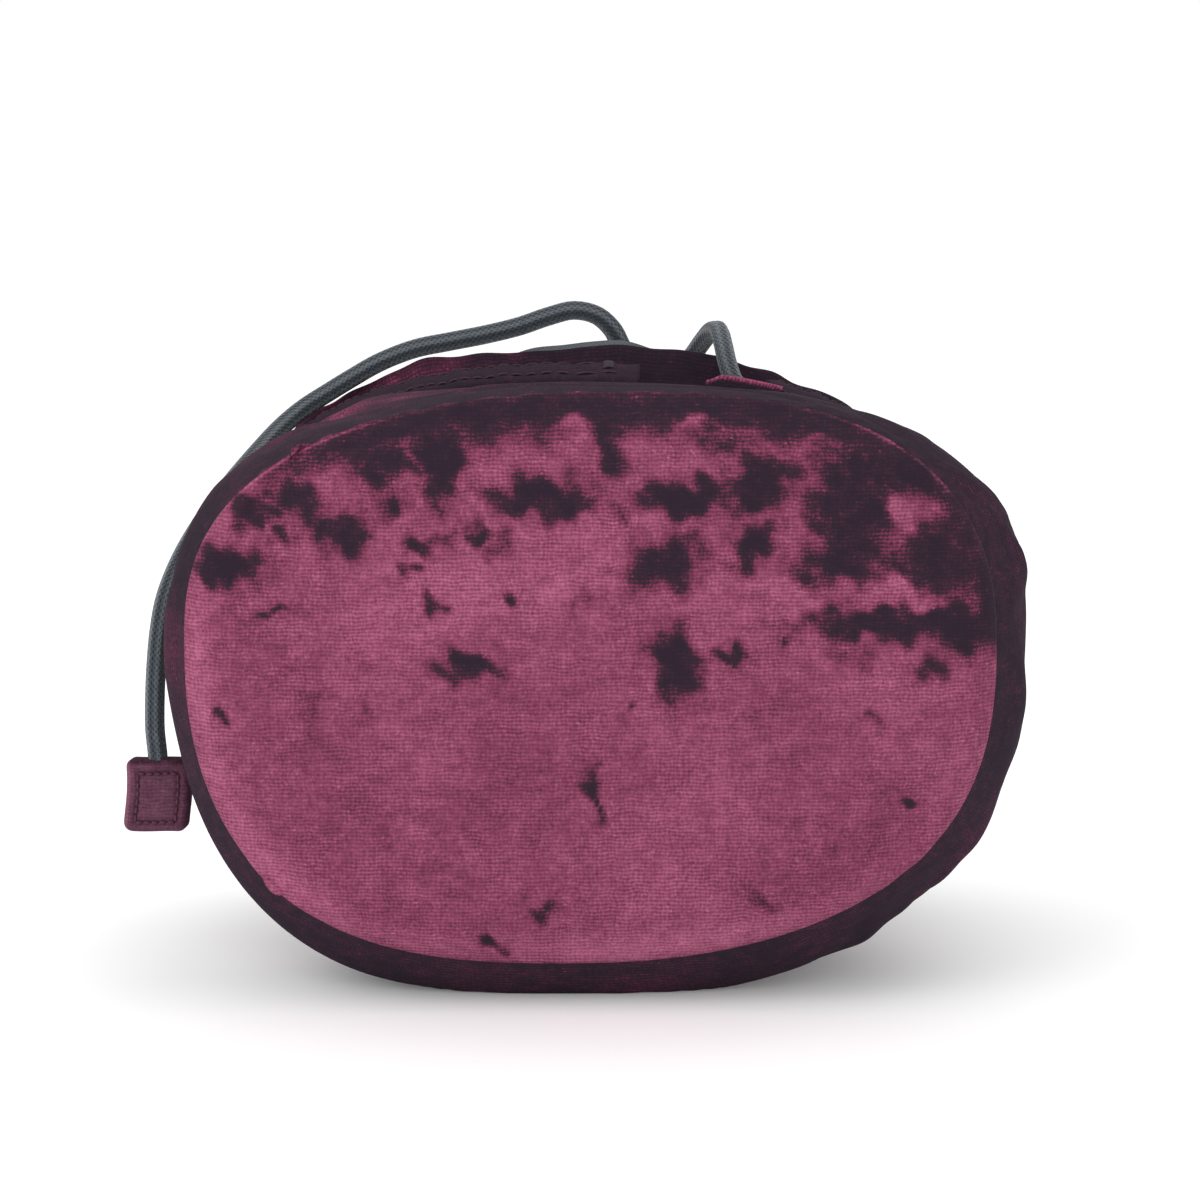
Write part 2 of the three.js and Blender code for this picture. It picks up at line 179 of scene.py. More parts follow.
def folds(share, angle):
    """How far the cloth stands off the plain outline: gathers, creases, folds and the seam's puckers."""
    share, angle = np.broadcast_arrays(np.asarray(share, float), np.asarray(angle, float))
    flat_top = 1 - 0.6 * np.exp(-(np.degrees(apart(angle, 0)) / 45) ** 4)
    off = PLEAT_DEPTH * share**3 * np.sin(PLEATS * angle) * flat_top
    gather = (np.sin(29 * angle + 0.8) * 0.5 + np.sin(41 * angle + 2.1 * np.sin(3 * angle)) * 0.35
              + np.sin(17 * angle + 1.3) * 0.4)
    calm = 0.2 + 0.8 * smooth(35, 80, np.abs(np.degrees(apart(angle, 0))))
    off = off + gather * (0.35 * smooth(0.5, 0.72, share) + 0.75 * calm * smooth(0.89, 1, share))
    creased = np.zeros_like(off)
    for middle, at, turn, length, width, height in CREASES:
        u, v = CREASE_RADIUS * apart(angle, middle), (share - at) * DEPTH
        along = u * math.cos(turn) + v * math.sin(turn)
        across = v * math.cos(turn) - u * math.sin(turn)
        creased = creased + height * np.exp(-(along / length) ** 2 - (across / width) ** 2)
    for degrees, at, height, width in FOLDS:
        bump = np.exp(-np.abs(np.degrees(apart(angle, math.radians(degrees))) / width) ** 1.5)
        creased = creased + height * bump * np.exp(-((share - at) / 0.12) ** 2)
    off = off + creased * smooth(0.0, 0.08, share) * (1 - smooth(0.6, 0.7, share))
    for degrees, at, height, width in PULLED_IN:
        bump = np.exp(-(np.degrees(apart(angle, math.radians(degrees))) / width) ** 2)
        off = off + height * bump * np.exp(-((share - at) / 0.14) ** 2)
    pucker = np.sin(64 * angle + 1.5 * np.sin(5 * angle))
    return off + 0.32 * pucker * np.exp(-share / 0.035) * smooth(0, 0.008, share)


def wall(share, angle, inset=0.0):
    return section(share, angle, inset - folds(share, angle))


# ---- Meshes ----


def mesh_object(name, points, faces, body="pouch", node=(), slot=None, look=None, uvs=None, values=None):
    mesh = bpy.data.meshes.new(name)
    mesh.from_pydata((np.asarray(points) * MM).tolist(), [], [list(map(int, f)) for f in faces])
    if uvs is not None:
        layer = mesh.uv_layers.new(name="cloth")
        layer.data.foreach_set("uv", np.asarray(uvs, float).reshape(-1))
    for key, value in (values or {}).items():
        mesh.attributes.new(key, "FLOAT", "POINT").data.foreach_set("value", value.astype(np.float32))
    mesh.validate()
    mesh.polygons.foreach_set("use_smooth", [True] * len(mesh.polygons))
    made = bpy.data.objects.new(name, mesh)
    bpy.context.scene.collection.objects.link(made)
    if look:
        mesh.materials.append(look)
    if node:
        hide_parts(*node)
    if body:
        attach(made, body)
    return made


def grid(points, u=None, v=None, wrap=True, close=False):
    """Vertices, faces and UVs (metres of cloth) of rows of points. Wrap joins the columns' ends."""
    rows, columns = points.shape[:2]
    wide, deep = columns if wrap else columns - 1, rows if close else rows - 1
    r, c = np.meshgrid(np.arange(deep), np.arange(wide), indexing="ij")
    r2, c2 = (r + 1) % rows, (c + 1) % columns
    faces = np.stack([r * columns + c, r * columns + c2, r2 * columns + c2, r2 * columns + c], -1)
    if u is None:
        u = np.arange(columns + 1)
    if v is None:
        v = np.arange(rows + 1)
    uvs = np.stack([np.stack([u[c], v[r]], -1), np.stack([u[c + 1], v[r]], -1),
                    np.stack([u[c + 1], v[r + 1]], -1), np.stack([u[c], v[r + 1]], -1)], -2)
    return points.reshape(-1, 3), faces.reshape(-1, 4), uvs.reshape(-1, 2)


def outward(points, faces):
    """Whether the faces already turn so that the closed body's normals point out of it."""
    faces = np.asarray(faces)
    a, b, c, d = (points[faces[:, k]] for k in range(4))
    volume = np.einsum("ij,ij->i", a, np.cross(b, c)).sum() + np.einsum("ij,ij->i", a, np.cross(c, d)).sum()
    return volume > 0


def shell(name, shares, angles, inset, thickness, shape, tone, **rest):
    """A sheet of cloth with thickness, through the pouch's sections."""
    inner = shares[::-1]
    outside = shape(shares[:, None], angles[None, :], inset)
    inside = shape(inner[:, None], angles[None, :], inset + thickness)
    edge = shape(shares[-1:, None] + 0.004, angles[None, :], inset + thickness / 2)
    points = np.concatenate([outside, edge, inside])
    reach = WALL_RADIUS * MM
    u = np.append(angles, 2 * math.pi) * reach
    v = np.concatenate([shares, shares[-1:], inner, shares[:1]]) * DEPTH * MM
    verts, faces, uvs = grid(points, u, v, close=True)
    if not outward(verts, faces):
        faces, uvs = faces[:, ::-1], uvs.reshape(-1, 4, 2)[:, ::-1].reshape(-1, 2)
    values = tone(points)
    return mesh_object(name, verts, faces, uvs=uvs, values={"tone": values.reshape(-1)}, **rest)


def smooth_path(points, spacing):
    """A centripetal spline through the points, in even steps."""
    points = np.asarray(points, float)
    ends = [2 * points[0] - points[1], *points, 2 * points[-1] - points[-2]]
    pieces = []
    for p0, p1, p2, p3 in zip(ends, ends[1:], ends[2:], ends[3:]):
        t0, t1 = 0, np.linalg.norm(p1 - p0) ** 0.5
        t2 = t1 + np.linalg.norm(p2 - p1) ** 0.5
        t3 = t2 + np.linalg.norm(p3 - p2) ** 0.5
        t = np.linspace(t1, t2, 24, endpoint=False)[:, None]
        a1 = (t1 - t) / (t1 - t0) * p0 + (t - t0) / (t1 - t0) * p1
        a2 = (t2 - t) / (t2 - t1) * p1 + (t - t1) / (t2 - t1) * p2
        a3 = (t3 - t) / (t3 - t2) * p2 + (t - t2) / (t3 - t2) * p3
        b1 = (t2 - t) / (t2 - t0) * a1 + (t - t0) / (t2 - t0) * a2
        b2 = (t3 - t) / (t3 - t1) * a2 + (t - t1) / (t3 - t1) * a3
        pieces.append((t2 - t) / (t2 - t1) * b1 + (t - t1) / (t2 - t1) * b2)
    dense = np.vstack([*pieces, points[-1:]])
    steps = np.append(0, np.cumsum(np.linalg.norm(np.diff(dense, axis=0), axis=1)))
    even = np.linspace(0, steps[-1], max(3, int(round(steps[-1] / spacing)) + 1))
    return np.stack([np.interp(even, steps, dense[:, k]) for k in range(3)], -1)


def path_frames(path, side):
    """Two unit vectors across the path at each of its points, turning as little as they can."""
    tangents = np.gradient(path, axis=0)
    tangents /= np.linalg.norm(tangents, axis=1)[:, None]
    side = np.asarray(side, float)
    firsts = []
    for tangent in tangents:
        side = side - tangent * (side @ tangent)
        side = side / np.linalg.norm(side)
        firsts.append(side)
    firsts = np.array(firsts)
    return firsts, np.cross(tangents, firsts)


def tube(path, radius, side, count=24):
    """A capped tube whose radius may vary: radius(turn, row) in millimetres."""
    first, second = path_frames(path, side)
    turns = np.arange(count) / count * 2 * math.pi
    reach = radius(turns[None, :], np.arange(len(path))[:, None])
    points = (path[:, None] + reach[..., None] * (
        np.cos(turns)[None, :, None] * first[:, None] + np.sin(turns)[None, :, None] * second[:, None]))
    caps = [np.repeat(path[k][None, None], count, axis=1) for k in (0, -1)]
    points = np.concatenate([caps[0], points, caps[1]])
    steps = np.append(0, np.cumsum(np.linalg.norm(np.diff(path, axis=0), axis=1))) * MM
    v = np.concatenate([steps[:1], steps, steps[-1:], steps[-1:]])
    u = np.arange(count + 1) / count
    return grid(points, u, v)


# ---- Materials ----


def linear(red, green, blue):
    def channel(value):
        value /= 255
        return value / 12.92 if value <= 0.04045 else ((value + 0.055) / 1.055) ** 2.4
    return channel(red), channel(green), channel(blue), 1


class Look:
    """A material and short ways to add nodes to it."""

    def __init__(self, name, roughness, sheen=0.0, sheen_tint=(1, 1, 1, 1), sheen_roughness=0.4):
        self.material = bpy.data.materials.new(name)
        self.material.use_nodes = True
        self.tree = self.material.node_tree
        self.shader = self.tree.nodes["Principled BSDF"]
        self.shader.inputs["Roughness"].default_value = roughness
        self.shader.inputs["Specular IOR Level"].default_value = 0.25
        self.shader.inputs["Sheen Weight"].default_value = sheen
        self.shader.inputs["Sheen Roughness"].default_value = sheen_roughness
        self.shader.inputs["Sheen Tint"].default_value = sheen_tint

    def node(self, kind, **settings):
        made = self.tree.nodes.new("ShaderNode" + kind)
        for key, value in settings.items():
            setattr(made, key, value)
        return made

    def link(self, value, socket):
        if isinstance(value, (int, float, tuple)):
            socket.default_value = value
        else:
            self.tree.links.new(value, socket)

    def math(self, operation, *values):
        made = self.node("Math", operation=operation)
        for value, socket in zip(values, made.inputs):
            self.link(value, socket)
        return made.outputs[0]

    def noise(self, vector, scale, detail=2.0, roughness=0.5, stretch=(1, 1, 1)):
        mapping = self.node("Mapping")
        self.link(vector, mapping.inputs["Vector"])
        mapping.inputs["Scale"].default_value = stretch
        made = self.node("TexNoise")
        self.link(mapping.outputs[0], made.inputs["Vector"])
        made.inputs["Scale"].default_value = scale
        made.inputs["Detail"].default_value = detail
        made.inputs["Roughness"].default_value = roughness
        return made.outputs[0]

    def ramp(self, value, stops):
        made = self.node("ValToRGB")
        self.link(value, made.inputs[0])
        elements = made.color_ramp.elements
        while len(elements) < len(stops):
            elements.new(0.5)
        for element, (place, color) in zip(elements, stops):
            element.position = place
            element.color = color
        return made.outputs[0]

    def bump(self, height, distance, strength=1.0):
        made = self.node("Bump")
        self.link(height, made.inputs["Height"])
        made.inputs["Distance"].default_value = distance
        made.inputs["Strength"].default_value = strength
        self.link(made.outputs[0], self.shader.inputs["Normal"])

    def cloth(self):
        """Places on the cloth, across and along it."""
        parts = self.node("SeparateXYZ")
        self.link(self.node("UVMap", uv_map="cloth").outputs[0], parts.inputs[0])
        return parts.outputs[0], parts.outputs[1]

    def spot(self):
        return self.node("TexCoord").outputs["Object"]


RIDGE = 0.00078


def velvet(name, stops, sheen=0.0, strength=1.0):
    """Crushed velvet on a ribbed knit: dark where the nap lies towards the eye, bright where it lies away."""
    look = Look(name, 0.9, sheen=sheen, sheen_tint=(1, 0.62, 0.76, 1), sheen_roughness=0.5)
    look.shader.inputs["Specular IOR Level"].default_value = 0.04
    across, along = look.cloth()
    spot = look.spot()
    tone = look.node("Attribute", attribute_name="tone").outputs["Fac"]
    wander = look.noise(spot, 260, 2, 0.5)
    phase = look.math("ADD", look.math("MULTIPLY", along, 2 * math.pi / RIDGE),
                      look.math("MULTIPLY", wander, 9.0))
    lump_phase = look.math("ADD", look.math("MULTIPLY", across, 2 * math.pi / 0.0009),
                           look.math("MULTIPLY", look.noise(spot, 420, 2, 0.6), 16.0))
    lump = look.math("SINE", lump_phase)
    ridge = look.math("ADD", look.math("MULTIPLY", look.math("SINE", phase), 0.7),
                      look.math("MULTIPLY", lump, 0.4))
    ridge_shade_patches = look.noise(spot, 150, 3, 0.6)
    # Painted shade and light: the knit's ridges are painted into the colour, darker in the grooves between
    # them and lighter on their crests, more strongly in patches.
    ridge_shading = look.math("MULTIPLY", ridge, look.math("MULTIPLY", ridge_shade_patches, 0.2 * strength))
    ragged = look.noise(spot, 330, 5, 0.72, stretch=(0.85, 1, 1.2))
    speckle = look.noise(spot, 1500, 3, 0.85)
    glints = look.noise(spot, 1250, 1, 0.5, stretch=(0.8, 1, 1.4))
    spark = look.math("MAXIMUM", look.math("SUBTRACT", glints, 0.66), 0.0)
    drift = look.noise(spot, 42, 4, 0.6, stretch=(0.8, 1, 1.1))
    raggedness = look.math("MAXIMUM", look.math("SUBTRACT", 1.25, look.math("MULTIPLY", tone, 1.2)), 0.5)
    total = look.math("ADD", tone, look.math("MULTIPLY", look.math("SUBTRACT", ragged, 0.5), raggedness))
    total = look.math("ADD", total, ridge_shading)
    total = look.math("ADD", total, look.math("MULTIPLY", look.math("SUBTRACT", speckle, 0.5), 0.55))
    total = look.math("ADD", total, look.math("MULTIPLY", spark, 1.6))
    total = look.math("ADD", total, look.math("MULTIPLY", look.math("SUBTRACT", drift, 0.5), 0.34))
    look.link(look.ramp(total, stops), look.shader.inputs["Base Color"])
    height = look.math("ADD", look.math("MULTIPLY", ridge, 0.35), look.math("MULTIPLY", speckle, 0.8))
    look.bump(height, 0.0001, 0.7)
    return look.material


# One velvet in lit and shaded copies: the base's brighter palette is painted sheen and the wall's darker
# palette painted shade, standing for how the nap catches the light on each.
lit_base_velvet = velvet("velvet_base", [(0.04, linear(44, 34, 45)), (0.3, linear(60, 38, 51)),
                                     (0.48, linear(108, 50, 74)), (0.64, linear(132, 66, 92)),
                                     (1.0, linear(186, 108, 138))], sheen=0.03)
shaded_wall_velvet = velvet("velvet_wall", [(0.1, linear(40, 33, 43)), (0.45, linear(50, 38, 49)),
                                     (0.72, linear(86, 44, 64)), (1.0, linear(164, 80, 112))])
tab_velvet = velvet("velvet_tab", [(0.05, linear(54, 34, 44)), (0.5, linear(96, 60, 78)),
                                   (0.95, linear(134, 88, 106))])


def plain_cloth(name, dark, light, weave=0.0006, roughness=0.8, sheen=0.1):
    look = Look(name, roughness, sheen=sheen)
    across, along = look.cloth()
    warp = look.math("SINE", look.math("MULTIPLY", across, 2 * math.pi / weave))
    weft = look.math("SINE", look.math("MULTIPLY", along, 2 * math.pi / weave))
    woven = look.math("MULTIPLY", warp, weft)
    clouds = look.noise(look.spot(), 90, 4, 0.6)
    total = look.math("ADD", clouds, look.math("MULTIPLY", woven, 0.1))
    look.link(look.ramp(total, [(0.3, dark), (0.7, light)]), look.shader.inputs["Base Color"])
    look.bump(woven, 0.0001, 0.4)
    return look.material


lining_cloth = plain_cloth("lining_cloth", linear(66, 70, 74), linear(98, 103, 107))


def braid(name):
    """A braided cord: bundles crossing round it, with two grooves along it."""
    look = Look(name, 0.72, sheen=0.25, sheen_roughness=0.5)
    around, along = look.cloth()
    step = look.math("MULTIPLY", along, 2 * math.pi / 0.0013)
    turn = look.math("MULTIPLY", around, 2 * math.pi * 12)
    left = look.math("SINE", look.math("ADD", step, turn))
    right = look.math("SINE", look.math("SUBTRACT", step, turn))
    woven = look.math("MAXIMUM", left, right)
    rib = look.math("COSINE", look.math("MULTIPLY", around, 2 * math.pi * 6))
    hairs = look.noise(look.spot(), 1500, 2, 0.7)
    # Painted shade: the gaps between the crossing bundles and the grooves between the ribs are painted darker
    # in the colour.
    total = look.math("ADD", look.math("MULTIPLY", woven, 0.07), look.math("MULTIPLY", rib, 0.2))
    total = look.math("ADD", total, look.math("MULTIPLY", hairs, 0.5))
    stops = [(0.0, linear(44, 49, 55)), (0.3, linear(70, 77, 84)), (0.6, linear(104, 112, 119))]
    look.link(look.ramp(total, stops), look.shader.inputs["Base Color"])
    look.bump(look.math("ADD", woven, look.math("MULTIPLY", rib, 0.8)), 0.00016, 0.9)
    return look.material


cord_braid = braid("cord_braid")


def speckled(name, dark, light, scale, roughness, height=0.0001):
    look = Look(name, roughness)
    grain = look.noise(look.spot(), scale, 4, 0.65)
    look.link(look.ramp(grain, [(0.3, dark), (0.7, light)]), look.shader.inputs["Base Color"])
    look.bump(grain, height, 0.6)
    return look.material


thread_look = speckled("thread", linear(44, 32, 42), linear(60, 42, 54), 3000, 0.6)
tab_thread_look = speckled("tab_thread", linear(64, 34, 48), linear(104, 62, 80), 3000, 0.6)
wadding = speckled("wadding", linear(206, 203, 196), linear(232, 230, 225), 300, 0.95, 0.0006)
pressed_board = speckled("pressed_board", linear(128, 116, 98), linear(158, 146, 126), 600, 0.9)

# ---- The free cord ----


def band_point(angle, off_wall, towards_mouth):
    """Points of the band: round the neck, off its outline, and so far towards the mouth."""
    tilt = MOUTH_TILT * BAND_PLACE**2
    out = np.array([0, math.cos(tilt), math.sin(tilt)])
    angle, off_wall, towards_mouth = np.broadcast_arrays(angle, off_wall, towards_mouth)
    return section(BAND_PLACE, angle, -off_wall) + np.asarray(towards_mouth, float)[..., None] * out


EXIT = band_point(BAND_START, BAND_MIDDLE, 0.0)
CORD_ROUTE = [
    (31.9, 14.9, 119.6), (29.5, 15.7, 122), (28, 18.2, 126), (27.2, 21.8, 129.7),
    (26.4, 26.4, 132.4), (24.8, 31.4, 132), (22.8, 35.6, 129.2), (20.4, 38, 125.6),
    (17, 39, 122.4), (13, 38.4, 121), (9.4, 36.6, 122), (6.6, 34, 125),
    (4.6, 31.6, 129), (2.6, 29.8, 132.8), (-0.8, 28.8, 135.8), (-5.8, 28.4, 136.9),
    (-11.4, 28.2, 135.6), (-17.9, 28, 133.4), (-25.7, 28, 131.5), (-33.4, 28, 130),
    (-41.2, 28, 128.4), (-49, 28, 125.4), (-55.4, 28, 121.8), (-61, 27.4, 118.4),
    (-65.8, 25.6, 115.4), (-70.5, 21.4, 111.6), (-75.4, 13.4, 106.4), (-80.4, 3.6, 100.4),
    (-85.4, -5.6, 93.4), (-89.4, -12.6, 86),
    (-92, -17.6, 78.6), (-93.2, -18.9, 72), (-93.9, -19.4, 65), (-94.3, -19.6, 58),
    (-94.4, -19.7, 51), (-93.9, -19.7, 44.8), (-93.9, -19.7, 39.2),
]


def cord_radius(turn, row):
    """Six soft ribs, with grooves between them."""
    return CORD / 2 * (1 + 0.05 * np.cos(6 * turn)) + 0 * row


route = smooth_path([EXIT + (EXIT - band_point(BAND_START + 0.01, BAND_MIDDLE, 0.0)) * 0.8, *CORD_ROUTE], 0.9)
verts, faces, uvs = tube(route, cord_radius, (0, 1, 0))
free_cord = mesh_object("drawcord", verts, faces, body=None, node=("drawcord_run", "drawcord_tail"),
                        slot="cord", look=cord_braid, uvs=uvs)
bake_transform(free_cord)

inside_end = BAND_END - FIXED_END_INSET / (NECK_HALF_WIDTH + BAND_MIDDLE)
hidden = smooth_path(band_point(np.linspace(BAND_START + 0.004, inside_end, 140), BAND_MIDDLE, 0.0), 1.4)
verts, faces, uvs = tube(hidden, cord_radius, (0, 1, 0))
mesh_object("drawcord_inside", verts, faces, node=("drawcord_in_casing",), slot="cord", look=cord_braid,
            uvs=uvs)

# ---- The base ----


def base_rim(angle, inset=0.0):
    ring = section(0.0, angle, inset)
    return ring[..., 0], ring[..., 2]


CENTRE = np.array([-SAG, BASE_MIDDLE])

# Crushed places in the base's nap: across and up from the floor, half-width, half-height, depth.
CRUSHED = [
    (-32, 113, 4, 8, 1), (-11, 105, 8.5, 3.4, 1), (2, 116, 2.6, 5, 1), (16.5, 105, 7.5, 3, 1),
    (13, 92, 5.8, 4.2, 1), (32, 108, 6.5, 4.6, 1), (30.5, 95, 4, 3.3, 1), (50, 104, 8, 11, 1),
    (60, 111, 9, 6, 1), (67, 93, 9, 8, 1), (48, 93, 8, 4.5, 1), (60, 80, 17, 3, 1),
    (73, 79, 5, 4.5, 1), (15, 72, 3.8, 6, 1), (-73.6, 91, 5.6, 3.2, 1), (-51, 97, 4.5, 4, 0.8),
    (-18, 84.5, 2, 1.6, 0.9), (-27, 71, 5.6, 2.2, 0.8), (-1, 45, 1.3, 5, 0.8), (-12, 21, 2.6, 2.2, 0.8),
    (-23, 13.5, 3, 1.3, 0.8), (63, 43.6, 1.7, 1.4, 0.9), (33, 23, 4, 1.6, 0.5), (67, 71, 2.6, 2, 0.7),
    (27, 74, 2.6, 1.8, 0.7), (-46, 62, 1.4, 4, 0.4), (-57, 64, 1.6, 5, 0.4), (-75, 60, 1.3, 1.1, 0.7),
    (-34, 84, 1.6, 1.6, 0.7), (-37, 90, 1.6, 1.4, 0.7), (-66, 82, 4.5, 1.1, 0.6), (-32, 96, 3, 2, 0.5),
    (-20, 96, 2, 4, 0.5), (-5, 84, 1.2, 5, 0.4), (30, 60, 3, 1.2, 0.4), (52, 73, 6, 2, 0.4),
    (-44, 112, 6, 4, 0.85), (-60, 104, 5, 3.4, 0.9), (6, 62, 1.2, 1.2, 0.6), (-14, 118, 9, 3, 0.5),
    (24, 117, 10, 3, 0.6), (55, 60, 1.6, 1.2, 0.5), (38, 77, 2, 1.2, 0.6), (6, 103, 2, 3, 0.5),
    (-69, 102, 3.4, 3, 0.85), (-55, 99, 3.6, 2.6, 0.9), (-41, 103, 3, 2.6, 0.8), (-25, 98, 3.4, 1.8, 0.75),
    (-37, 96, 2.4, 1.8, 0.75), (-64, 97, 2.2, 1.6, 0.7),
]
RAISED = [(61, 101, 3.4, 2.6, 0.9), (59, 86, 7, 2.8, 1.0), (71, 104, 2, 6, 0.6), (40, 100, 3, 8, 0.5)]


def base_tone(x, z):
    """How bright the base looks at each point, from 0 to 1: the nap's crushed places, with painted shade
    along the top and the upper right of the rim, and painted highlights round the lower left and on the
    seam's edge at the top.
    """
    angle = np.arctan2(x - CENTRE[0], z - CENTRE[1])
    table = np.linspace(-math.pi, math.pi, 721)
    rim_x, rim_z = base_rim(table)
    rim_angle = np.arctan2(rim_x - CENTRE[0], rim_z - CENTRE[1])
    order = np.argsort(rim_angle)
    reach = np.interp(angle, rim_angle[order], np.hypot(rim_x - CENTRE[0], rim_z - CENTRE[1])[order])
    inset = reach - np.hypot(x - CENTRE[0], z - CENTRE[1])
    tone = 0.615 + 0.03 * np.sin(x / 13 + 1) * np.sin(z / 17) + 0.05 * smooth(60, 110, z)
    dark = np.zeros_like(x)
    bent_x = (x + 1.5 * np.sin(z / 2.3 + 1.4 * np.sin(x / 3.1)) + 0.8 * np.sin(z / 0.97 + x / 1.7)
              + 0.6 * np.sin(x / 0.9))
    bent_z = z + 1.1 * np.sin(x / 1.9 + 1.7 * np.sin(z / 2.9)) + 0.7 * np.sin(x / 0.83 + z / 2.2)
    for cx, cz, wide, high, depth in CRUSHED:
        near = ((bent_x - cx) / wide) ** 2 + ((bent_z - cz) / high) ** 2
        dark = np.maximum(dark, depth * np.exp(-near / 1.9))
    for cx, cz, wide, high, depth in RAISED:
        dark = dark * (1 - depth * np.exp(-((bent_x - cx) / wide) ** 2 - ((bent_z - cz) / high) ** 2))
    dark = smooth(0.1, 0.95, dark)
    # Painted shade: the base is darkened along the top of its rim and along the upper right of its rim, where
    # it meets the wall.
    shade_edge = 9.5 + 3 * np.sin(x / 4.3) + 2 * np.sin(x / 1.9 + 1)
    top = smooth(0.35, 0.8, np.cos(angle)) * (1 - smooth(3, shade_edge, inset))
    dark = np.maximum(dark, 0.95 * top)
    right = smooth(20, 80, x) * smooth(70, 80, z) * (1 - smooth(2, 6, inset))
    dark = np.maximum(dark, 0.85 * right)
    tone = tone - 0.62 * dark
    # Painted highlight: a brighter band just inside the rim round the lower left of the base.
    lit_low_left = np.maximum(smooth(0.35, 0.75, -np.sin(angle)) * smooth(-0.75, 0.2, -np.cos(angle)),
                          smooth(0.35, 0.8, -np.cos(angle)))
    band = np.exp(-((inset - 3) / 3.2) ** 2)
    tone = tone + 0.13 * band * lit_low_left * (1 - dark)
    # Painted highlight: a thin lighter line on the rim's edge at the top, where the seam catches the light.
    return tone + 0.34 * np.exp(-((inset - 0.3) / 0.35) ** 2) * smooth(0.3, 0.7, np.cos(angle))


def base_surface(u, v):
    """The base's outer surface at places of a unit square, with its cloth coordinates."""
    disc_x, disc_z = u * np.sqrt(1 - v**2 / 2), v * np.sqrt(1 - u**2 / 2)
    radius = np.minimum(np.hypot(disc_x, disc_z), 1)
    x, z = base_rim(np.arctan2(disc_x, disc_z))
    px, pz = CENTRE[0] + radius * (x - CENTRE[0]), CENTRE[1] + radius * (z - CENTRE[1])
    inset = (1 - radius) * np.hypot(x - CENTRE[0], z - CENTRE[1])
    rise = 1 - (1 - np.clip(inset / CROWN_EDGE, 0, 1)) ** 2.6
    y = SEAM_Y - 0.1 - (VELVET + CROWN) * rise
    return np.stack([px, y, pz], -1), inset


def apply_modifiers(target):
    graph = bpy.context.evaluated_depsgraph_get()
    mesh = bpy.data.meshes.new_from_object(target.evaluated_get(graph))
    target.modifiers.clear()
    target.data = mesh


def coordinates(target):
    flat = np.empty(len(target.data.vertices) * 3)
    target.data.vertices.foreach_get("co", flat)
    return flat.reshape(-1, 3)


def puff(target, pinned, pressure, limit):
    """Blows the cloth up with its edge held, and lets no point go further than the limit."""
    before = coordinates(target)
    group = target.vertex_groups.new(name="held")
    group.add([int(i) for i in pinned], 1.0, "REPLACE")
    cloth = target.modifiers.new("cloth", "CLOTH")
    settings = cloth.settings
    settings.quality = 6
    settings.mass = 0.25
    settings.tension_stiffness = settings.compression_stiffness = 12
    settings.shear_stiffness = 4
    settings.bending_stiffness = 0.4
    settings.use_pressure = True
    settings.uniform_pressure_force = pressure
    settings.shrink_min = -0.03
    settings.vertex_group_mass = "held"
    settings.effector_weights.gravity = 0
    scene = bpy.context.scene
    for number in range(1, 21):
        scene.frame_set(number)
    graph = bpy.context.evaluated_depsgraph_get()
    settled = target.evaluated_get(graph).to_mesh()
    after = np.array([v.co for v in settled.vertices])
    target.modifiers.clear()
    scene.frame_set(1)
    move = after - before
    far = np.linalg.norm(move, axis=1)[:, None]
    move *= np.minimum(1, limit / np.maximum(far, 1e-9))
    target.data.vertices.foreach_set("co", (before + move).reshape(-1))
    target.data.update()


columns, rows = 64, 46
square_u, square_v = np.meshgrid(np.linspace(-1, 1, columns), np.linspace(-1, 1, rows))
surface, edge_inset = base_surface(square_u, square_v)
verts, faces, uvs = grid(surface, wrap=False)
base = mesh_object("base_panel_velvet", verts, faces, node=("base_panel",), slot="velvet_base",
                   look=lit_base_velvet)
puff(base, np.flatnonzero(edge_inset.reshape(-1) < 0.05), 3.0, 0.0011)
split = base.modifiers.new("finer", "SUBSURF")
split.levels = split.render_levels = 2
thick = base.modifiers.new("thick", "SOLIDIFY")
thick.thickness = 1.2 * MM
thick.offset = -1
apply_modifiers(base)
place = coordinates(base) / MM
base.data.attributes.new("tone", "FLOAT", "POINT").data.foreach_set(
    "value", base_tone(place[:, 0], place[:, 2]).astype(np.float32))
layer = base.data.uv_layers.get("cloth") or base.data.uv_layers.new(name="cloth")
corner = np.empty(len(base.data.loops), int)
base.data.loops.foreach_get("vertex_index", corner)
layer.data.foreach_set("uv", (place[corner][:, [0, 2]] * MM).reshape(-1))
base.data.polygons.foreach_set("use_smooth", [True] * len(base.data.polygons))


def oval_body(name, rings, node, slot, look):
    """A closed body through rings of points, with its cloth coordinates seen from the base."""
    verts, faces = grid(np.stack(rings))[:2]
    return mesh_object(name, verts, faces if outward(verts, faces) else faces[:, ::-1], node=(node,),
                       slot=slot, look=look, uvs=verts[faces.reshape(-1)][:, [0, 2]] * MM)


def oval_block(name, depths, insets, node, slot, look, ease=None):
    """A closed oval body through rings at these depths behind the seam and insets from the rim."""
    angles = np.arange(240) / 240 * 2 * math.pi
    rings = []
    for depth, inset, scale in zip(depths, insets, ease or [1] * len(depths)):
        x, z = base_rim(angles, inset)
        ring = np.stack([x, np.full_like(x, SEAM_Y + depth), z], -1)
        middle = np.array([CENTRE[0], SEAM_Y + depth, CENTRE[1]])
        rings.append(middle + scale * (ring - middle))
    return oval_body(name, rings, node, slot, look)


